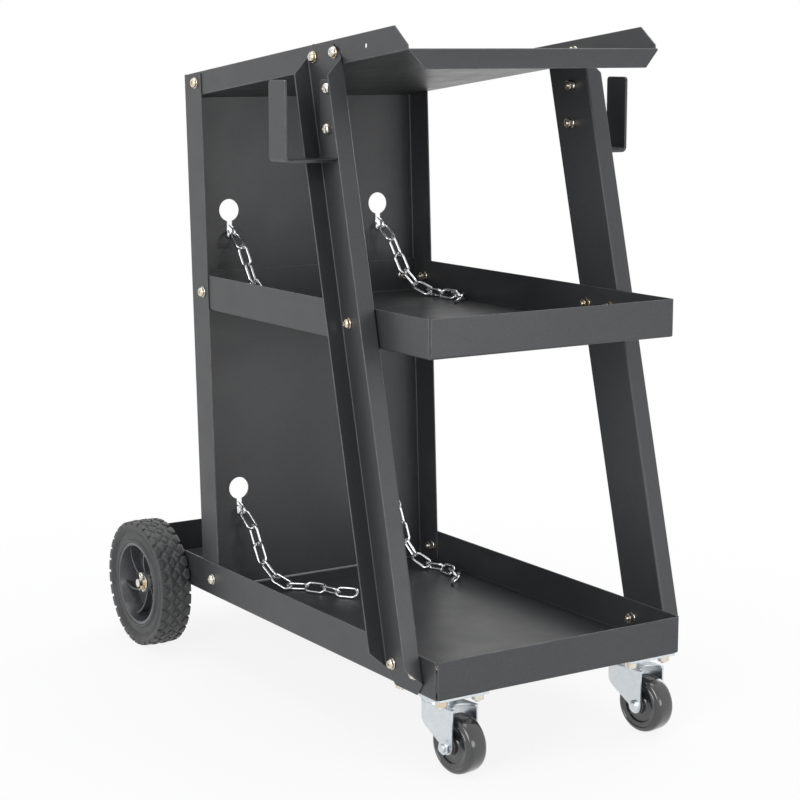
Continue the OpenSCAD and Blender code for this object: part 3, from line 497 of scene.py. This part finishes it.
def carved_head(radius, height):
    """A pan head with a cross recess, cut from a turned solid."""
    curve = [(share * radius, z * height / HEAD_CURVE_H if z < height else z)
             for share, z in HEAD_CURVE]
    profile = [(0, 0), (radius - HEAD_FOOT, 0), *curve, (0, height)]
    head = shape_object("head_stock", lathe(profile, HEAD_STEPS))
    cutters = [shape_object(f"cutter_{i}", recess_arm(radius, height, TAU / 8 + i * TAU / 4))
               for i in range(2)]
    for cutter in cutters:
        modifier = head.modifiers.new("cut", "BOOLEAN")
        modifier.operation, modifier.solver, modifier.object = "DIFFERENCE", "EXACT", cutter
    graph = bpy.context.evaluated_depsgraph_get()
    mesh = bpy.data.meshes.new_from_object(head.evaluated_get(graph))
    shape = [tuple(v.co) for v in mesh.vertices], [list(p.vertices) for p in mesh.polygons]
    bpy.data.meshes.remove(mesh)
    for obj in [head, *cutters]:
        data = obj.data
        bpy.data.objects.remove(obj)
        bpy.data.meshes.remove(data)
    return shape


# The CAD's fasteners: each one's place, axis and size are measured on its mesh
POINT_DIGITS = 3  # points that agree to a micrometre are one
BIGGEST_FACES = 60  # as many faces are tried for an axis
ALIGNED = 0.995  # cosines of faces that look along an axis, or away from it
ACROSS = 0.02
BETTER_BY = 1e-12  # an axis takes over from another when it scores more by this


def islands(node):
    """A CAD node's separate solids: points in millimetres, faces' normals and areas."""
    mesh = NODES[node].data
    points = np.array([v.co[:] for v in mesh.vertices]) * MM
    keys = {}
    where = [keys.setdefault(tuple(np.round(p, POINT_DIGITS)), len(keys)) for p in points]
    parent = list(range(len(keys)))

    def root(i):
        while parent[i] != i:
            parent[i] = parent[parent[i]]
            i = parent[i]
        return i

    for polygon in mesh.polygons:
        first, *others = [root(where[v]) for v in polygon.vertices]
        for other in others:
            parent[root(other)] = root(first)
    groups = {}
    for polygon in mesh.polygons:
        groups.setdefault(root(where[polygon.vertices[0]]), []).append(polygon)
    for polygons in groups.values():
        ids = sorted({v for p in polygons for v in p.vertices})
        normals = np.array([p.normal[:] for p in polygons])
        areas = np.array([p.area for p in polygons])
        yield points[ids], normals, areas


def axis_of(normals, areas):
    """The direction that most of the faces are square to or parallel to."""
    best, axis = -1.0, None
    for i in np.argsort(-areas)[:BIGGEST_FACES]:
        dots = np.abs(normals @ normals[i])
        score = areas[(dots > ALIGNED) | (dots < ACROSS)].sum()
        if score > best + BETTER_BY:
            best, axis = score, normals[i]
    return axis / np.linalg.norm(axis)


def measure(points, axis):
    """The points' heights along the axis, their distances from it, and its foot point."""
    along = points @ axis
    spokes = points - np.outer(along, axis)
    core = (spokes.min(axis=0) + spokes.max(axis=0)) / 2
    core = core - axis * (core @ axis)
    return along, np.linalg.norm(spokes - core, axis=1), core


HEAD_OUTER = 0.8  # points past this share of the radius belong to the head
HEAD_SHARE = 0.94  # the carved head's radius, as a share of the CAD's
HEAD_TURN = 1.7  # each recess is turned by a multiple of this angle
HEAD_TURNS = 13
HEAD_DIGITS = 1  # heads that agree to a tenth share one mesh
SHANK_FROM = 0.5  # the shank is measured this far under the head's seat
HEADS = {}


def screws(node):
    """Carved heads on threads. A solid with no shank gets the head alone."""
    pile = Pile()
    for points, normals, areas in islands(node):
        axis = axis_of(normals, areas)
        along, radii, core = measure(points, axis)
        radius = radii.max()
        outer = radii > HEAD_OUTER * radius
        if along[outer].mean() < (along.min() + along.max()) / 2:
            axis, along = -axis, -along
        seat = along[outer].min()
        height = along.max() - seat
        size = round(float(radius), HEAD_DIGITS), round(float(height), HEAD_DIGITS)
        if size not in HEADS:
            HEADS[size] = carved_head(radius * HEAD_SHARE, height)
        place = placed(core + axis * seat, axis)
        turn = Matrix.Rotation(HEAD_TURN * (len(pile.verts) % HEAD_TURNS), 4, "Z")
        pile.put(HEADS[size], place @ turn)
        below = along < seat - SHANK_FROM
        if below.any():
            pile.put(thread(seat - along.min(), radii[below].max()), place)
    pile.make(node, "detail", smooth=30.0)


NUT_ACROSS = 0.05  # the cosine up to which a nut's face looks away from its axis
NUT_OUTER = 0.985  # points past this share of the radius are corners
NUT_CORNERS = 14  # a solid whose corners look in more directions is a washer
NORMAL_DIGITS = 1  # normals that agree to a tenth belong to one side
BORE_GAP = 0.05  # a nut's bore is drawn this much tighter, to meet its thread
BORE_LEAST = 0.5


def nuts(node):
    """Chamfered nuts that keep the turn of the CAD's, and washers where the node has them."""
    pile = Pile()
    for points, normals, areas in islands(node):
        axis = axis_of(normals, areas)
        along, radii, core = measure(points, axis)
        sides = {}
        across = np.abs(normals @ axis) < NUT_ACROSS
        for normal, area in zip(normals[across], areas[across]):
            key = tuple(np.round(normal, NORMAL_DIGITS))
            sides[key] = sides.get(key, 0.0) + area
        side = max(sides, key=sides.get)
        height = along.max() - along.min()
        bore, widest = radii.min(), radii.max()
        origin = core + axis * along.min()
        corners = points[radii > NUT_OUTER * widest]
        spokes = corners - np.outer(corners @ axis, axis) - core
        level = placed((0, 0, 0), axis, side).inverted()
        local = np.array([tuple(level @ Vector(v)) for v in spokes])
        turns = np.unique(np.round(np.degrees(np.arctan2(local[:, 1], local[:, 0]))))
        if len(turns) > NUT_CORNERS:
            pile.put(washer(bore, widest, height), placed(origin, axis))
        else:
            width = widest * math.cos(TAU / 12) * 2
            pile.put(hex_nut(width, height, max(bore - BORE_GAP, BORE_LEAST)),
                     placed(origin, axis, side))
    pile.make(node, "detail", smooth=28.0)


def washers(node):
    pile = Pile()
    for points, normals, areas in islands(node):
        axis = axis_of(normals, areas)
        along, radii, core = measure(points, axis)
        pile.put(washer(radii.min(), radii.max(), along.max() - along.min()),
                 placed(core + axis * along.min(), axis))
    pile.make(node, "detail", smooth=28.0)


for node in ("leg_screws", "hook_screws", "panel_screws", "bracket_screws", "caster_screws"):
    screws(node)
for node in ("leg_nuts", "hook_nuts", "panel_nuts", "bracket_nuts", "caster_nuts",
             "left_caster_nut", "right_caster_nut"):
    nuts(node)
for node in ("leg_washers", "panel_washers", "axle_washers"):
    washers(node)


# Rear tyres: a turned carcass that carries shoulder lugs and rows of rhombus blocks
TYRE_R = 77.0
CROWN = 0.0030  # the tread's fall towards the shoulders, for each square millimetre
PITCHES = 30
HALF_PITCH = TAU / PITCHES / 2
PITCH_L = TAU * TYRE_R / PITCHES
TYRE_STEPS = 144
TYRE_BORE = [(49.5, 8.0), (49.5, -8.0)]
# (r, z) from the bead over the bead ring, the sidewall and the shoulder to the crown
TYRE_SIDE = [(49.5, 15.2), (50.3, 17.2), (51.1, 18.2), (52.2, 18.7), (53.3, 18.4), (54.0, 17.4),
             (54.6, 16.6), (55.4, 16.3), (59.0, 16.3), (62.8, 16.2), (63.8, 15.5), (64.6, 15.2),
             (65.6, 15.4), (66.6, 16.4), (67.8, 17.6), (69.6, 18.2), (71.4, 18.3), (72.8, 17.9),
             (73.7, 16.6), (74.2, 14.0), (74.5, 10.0), (74.7, 5.0), (74.75, 0.0)]
ROW_V = 6.5  # the rhombus rows' distance from the tread's middle
LUG_HALF = 0.38  # half a lug's length, in pitches
LUG_V = (10.6, 14.9, 18.95)  # its tip, its shoulders and its outer end
SIDE_POINTS = 3  # points on each side of a block's outline
BEVEL_REACH = 1.5  # a block's bevel runs this much further in than down
BEVEL_BEND = (0.35, 0.3)  # its middle: shares of the way in and of the way down
CORE_SHARE = 0.5  # the size of the inner ring on a block's top


def crown(v):
    """The tread's radius at a distance from its middle."""
    return TYRE_R - CROWN * v * v


def refine(outline):
    """Adds points along each side of an outline."""
    out = []
    for k, (u, v) in enumerate(outline):
        next_u, next_v = outline[(k + 1) % len(outline)]
        out += [(u + (next_u - u) * t / SIDE_POINTS, v + (next_v - v) * t / SIDE_POINTS)
                for t in range(SIDE_POINTS)]
    return out


def block(outline, drop, base, bevel, turn):
    """A raised block: the outline runs round the tread (u) and across it (v)."""
    points = refine(outline)
    count = len(points)
    cu = sum(u for u, v in points) / count
    cv = sum(v for u, v in points) / count
    reach = max(math.hypot(u - cu, v - cv) for u, v in points)
    shrink = 1.0 - bevel * BEVEL_REACH / reach

    def at(u, v, r):
        a = turn + u / TYRE_R
        return r * math.cos(a), r * math.sin(a), v

    def top(share, lower):
        spots = [(cu + (u - cu) * share, cv + (v - cv) * share) for u, v in points]
        return [at(u, v, crown(v) - drop - lower) for u, v in spots]

    bend_in, bend_down = BEVEL_BEND
    verts = [at(u, v, base) for u, v in points]
    verts += top(1.0, bevel) + top(1.0 - (1.0 - shrink) * bend_in, bevel * bend_down)
    verts += top(shrink, 0.0) + top(shrink * CORE_SHARE, 0.0)
    faces = bands(len(verts) // count, count)
    inner, summit, root = len(verts) - count, len(verts), len(verts) + 1
    verts += [at(cu, cv, crown(cv) - drop), at(cu, cv, base)]
    for i in range(count):
        j = (i + 1) % count
        faces += [[inner + i, inner + j, summit], [j, i, root]]
    return verts, faces


def rhombus(half_length, half_width, v):
    """An outline whose half length is in pitches and whose half width is in millimetres."""
    u = half_length * PITCH_L
    return [(-u, v), (0.0, v - half_width), (u, v), (0.0, v + half_width)]


def lug(side):
    tip, shoulder, end = (side * v for v in LUG_V)
    u = LUG_HALF * PITCH_L
    return [(-u, end), (-u, shoulder), (0.0, tip), (u, shoulder), (u, end)]


def tyre_shapes():
    shapes = [lathe(both_sides(TYRE_SIDE) + TYRE_BORE, TYRE_STEPS, closed=True)]
    for k in range(PITCHES):
        turn = TAU * k / PITCHES
        between = turn + HALF_PITCH
        for side in (-1, 1):
            row = side * ROW_V
            shapes += [
                block(rhombus(half_length=0.465, half_width=6.0, v=row),
                      drop=0.75, base=73.0, bevel=0.45, turn=turn),
                block(rhombus(half_length=0.30, half_width=3.9, v=row),
                      drop=0.0, base=74.5, bevel=0.4, turn=turn),
                block(lug(side), drop=0.1, base=70.4, bevel=0.5, turn=between),
            ]
        shapes.append(block(rhombus(half_length=0.31, half_width=3.6, v=0.0),
                            drop=0.2, base=73.0, bevel=0.45, turn=between))
    return [outward(shape) for shape in shapes]


tyre_parts = tyre_shapes()
for side, node in ((-1, "left_rear_tyre"), (1, "right_rear_tyre")):
    low, high = (np.array(corner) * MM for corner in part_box(node))
    place = placed((low + high) / 2, axis=(side, 0.0, 0.0), side=(0.0, 1.0, 0.0))
    pile = Pile()
    for shape in tyre_parts:
        pile.put(shape, place)
    pile.make(node, "tread", smooth=34.0)


# Sheet pieces that are shown without a hole that the real sheet lacks
HOOK_ARM_X = (205.0, 220.0)  # where a hook's outer arm stands
HOOK_SOFT = 0.25  # the bevel on the hooks' cut edges
TIE_LIP_X = (150.0, 156.0)  # where the top shelf's right lip stands
TIE_HOLE_R = 2.8  # the tie hole is smaller than this and the screw holes are larger
WELD = 0.002
HOLE_WALL = 0.25  # how far a wall's points may stray from the hole's radius
SHARP = math.radians(50)  # edges that turn by more are bevelled
FLAT = math.radians(0.5)  # faces that turn by less are merged
WALL_NORMAL = 0.02  # a wall along X has a normal with less of X than this
WALL_AREA = 6.0  # and its facets are smaller than this
HOLE_CELL = 6.0  # facets of one hole share a cell of this size, or lie in its neighbours
HOLE_REACH = 8.0
HOLE_ROUND = 0.3  # the difference of width and height up to which a hole is round
HOLE_WIDTHS = (3.0, 9.0)


def round_holes(node, low_x, high_x):
    """The round holes along X between two values of x: each one's centre and radius."""
    mesh = NODES[node].data
    walls = [p for p in mesh.polygons if abs(p.normal.x) < WALL_NORMAL
             and low_x < p.center.x * MM < high_x and p.area * MM * MM < WALL_AREA]
    found, seen = [], set()
    for polygon in walls:
        spot = polygon.center * MM
        row, column = round(spot.y / HOLE_CELL), round(spot.z / HOLE_CELL)
        if (row, column) in seen:
            continue
        near = [mesh.vertices[v].co * MM for wall in walls for v in wall.vertices
                if (wall.center * MM - spot).length < HOLE_REACH]
        low_y, high_y = min(v.y for v in near), max(v.y for v in near)
        low_z, high_z = min(v.z for v in near), max(v.z for v in near)
        wide, tall = high_y - low_y, high_z - low_z
        if abs(wide - tall) < HOLE_ROUND and HOLE_WIDTHS[0] < wide < HOLE_WIDTHS[1]:
            seen |= {(row + a, column + b) for a in (-1, 0, 1) for b in (-1, 0, 1)}
            found.append(((high_y + low_y) / 2, (high_z + low_z) / 2, wide / 2))
    return found


def sheet_piece(node, low_x, high_x, holes, soften=0.0):
    """A copy of a CAD node whose holes between two values of x are closed."""
    mesh = bmesh.new()
    mesh.from_mesh(NODES[node].data)
    bmesh.ops.scale(mesh, vec=(MM, MM, MM), verts=mesh.verts[:])
    bmesh.ops.remove_doubles(mesh, verts=mesh.verts[:], dist=WELD)
    for y, z, r in holes:
        def on_wall(vert):
            stray = abs(math.hypot(vert.co.y - y, vert.co.z - z) - r)
            return low_x < vert.co.x < high_x and stray < HOLE_WALL

        walls = [f for f in mesh.faces if all(on_wall(v) for v in f.verts)]
        rim = dict.fromkeys(e for f in walls for e in f.edges)
        bmesh.ops.delete(mesh, geom=walls, context="FACES_KEEP_BOUNDARY")
        bmesh.ops.holes_fill(mesh, edges=[e for e in rim if e.is_valid and e.is_boundary],
                             sides=0)
    bmesh.ops.dissolve_limit(mesh, angle_limit=FLAT, verts=mesh.verts[:], edges=mesh.edges[:])
    bmesh.ops.recalc_face_normals(mesh, faces=mesh.faces[:])
    if soften:
        sharp = [e for e in mesh.edges
                 if len(e.link_faces) == 2 and e.calc_face_angle(0.0) > SHARP]
        bmesh.ops.bevel(mesh, geom=sharp, offset=soften, offset_type="OFFSET", segments=1,
                        affect="EDGES", clamp_overlap=True)
    bmesh.ops.triangulate(mesh, faces=[f for f in mesh.faces if len(f.verts) > 4])
    pile = Pile()
    pile.put(mesh_shape(mesh))
    pile.make(node, "sheet", smooth=30.0)


for side, node in ((-1, "left_hook"), (1, "right_hook")):
    low, high = sorted(side * x for x in HOOK_ARM_X)
    sheet_piece(node, low, high, round_holes(node, low, high), soften=HOOK_SOFT)
tie_holes = [hole for hole in round_holes("top_shelf", *TIE_LIP_X) if hole[2] < TIE_HOLE_R]
sheet_piece("top_shelf", *TIE_LIP_X, tie_holes)


# Caster wheels: turned, with rounded shoulders, a groove and a stepped face
CASTER_STEPS = 96
# (r, z) from the bore over the boss, the dished web and the rim's groove to the tread
CASTER_SIDE = [(5.6, 14.6), (6.0, 14.9), (8.4, 14.9), (9.0, 14.3), (9.3, 10.4), (10.0, 9.6),
               (11.5, 9.1), (17.5, 8.7), (18.3, 9.0), (18.8, 9.9), (19.3, 11.1), (20.2, 11.5),
               (23.2, 11.5), (23.7, 11.1), (24.2, 10.9), (24.8, 11.1), (25.2, 11.45),
               (26.6, 11.4), (28.2, 10.8), (29.4, 9.6), (30.1, 7.8), (30.42, 5.0), (30.5, 0.0)]

caster_shape = outward(lathe(both_sides(CASTER_SIDE), CASTER_STEPS, closed=True))
AXLES = {joint["child"]: joint for joint in RECORD["behaviour"]["joints"]}
for node in ("left_caster_wheel", "right_caster_wheel"):
    axle = AXLES[BODY_OF[node]]
    pile = Pile()
    pile.put(caster_shape, placed(np.array(axle["pos_m"]) * MM, axle["axis"]))
    pile.make(node, "turned", smooth=34.0)


# Stage: a white floor and world, which are fully white where they are seen, and four lights
WHITE = (1.0, 1.0, 1.0)
FLOOR_COLOUR = (0.88, 0.88, 0.88)
FLOOR_ROUGH = 0.9
FLOOR_SPEC = 0.1
FLOOR_HALF = 9.0
SHADE_SHARE = 0.87  # how much the floor glows near the cart, where it keeps its shadow
SHADE_END = 0.50  # metres from the cart's middle
GLOW_START = 1.10
WORLD_COLOUR = (0.95, 0.97, 1.0)
WORLD_STRENGTH = 0.5


def backdrop():
    """A white floor that glows where it is seen, fully so away from the cart's shadow."""
    n = Finish("studio_floor")
    n.set(color=FLOOR_COLOUR, rough=FLOOR_ROUGH, spec=FLOOR_SPEC)
    glow = n.add("ShaderNodeEmission", {"Color": WHITE, "Strength": 1.0})
    away = n.add("ShaderNodeVectorMath", {0: n.coords}, operation="LENGTH").outputs["Value"]
    fade = n.remap(away, low=SHADE_SHARE, high=1.0, start=SHADE_END, end=GLOW_START)
    share = n.add("ShaderNodeMath", {0: n.seen_rays(), 1: fade}, operation="MULTIPLY")
    mix = n.add("ShaderNodeMixShader",
                {0: share.outputs[0], 1: n.shader.outputs[0], 2: glow.outputs[0]})
    n.feed(mix.outputs[0], n.tree.nodes["Material Output"].inputs["Surface"])
    corners = [(x * FLOOR_HALF, y * FLOOR_HALF, 0) for x, y in ((-1, -1), (1, -1), (1, 1), (-1, 1))]
    floor = shape_object("studio_floor", (corners, [(0, 1, 2, 3)]))
    floor.data.materials.append(n.material)
    return floor


def studio_world():
    world = bpy.data.worlds.new("studio_world")
    world.use_nodes = True
    n = Tree(world.node_tree)
    ambient = n.tree.nodes["Background"]
    n.feed(WORLD_COLOUR, ambient.inputs["Color"])
    n.feed(WORLD_STRENGTH, ambient.inputs["Strength"])
    white = n.add("ShaderNodeBackground", {"Color": WHITE, "Strength": 1.0})
    mix = n.add("ShaderNodeMixShader",
                {0: n.seen_rays(), 1: ambient.outputs[0], 2: white.outputs[0]})
    n.feed(mix.outputs[0], n.tree.nodes["World Output"].inputs["Surface"])
    return world


def area_light(name, place, target, size, power):
    data = bpy.data.lights.new(name, "AREA")
    data.shape = "RECTANGLE"
    data.size, data.size_y = size
    data.energy = power
    light = linked(name, data)
    light.location = place
    light.rotation_euler = (Vector(target) - Vector(place)).to_track_quat("-Z", "Y").to_euler()


backdrop()
bpy.context.scene.world = studio_world()
area_light("key_left", place=(-2.6, -1.4, 1.3), target=(0, 0, 0.3), size=(1.6, 1.6), power=37.0)
area_light("front_soft", place=(0.3, -2.6, 0.45), target=(0, 0, 0.15), size=(2.0, 0.8), power=15.0)
area_light("top_soft", place=(0.3, 0.2, 2.8), target=(0, 0, 0.3), size=(2.4, 2.4), power=34.0)
area_light("rim_right", place=(2.4, 0.9, 1.2), target=(0, 0, 0.4), size=(1.2, 1.6), power=20.0)

bpy.context.scene.view_settings.view_transform = "Standard"
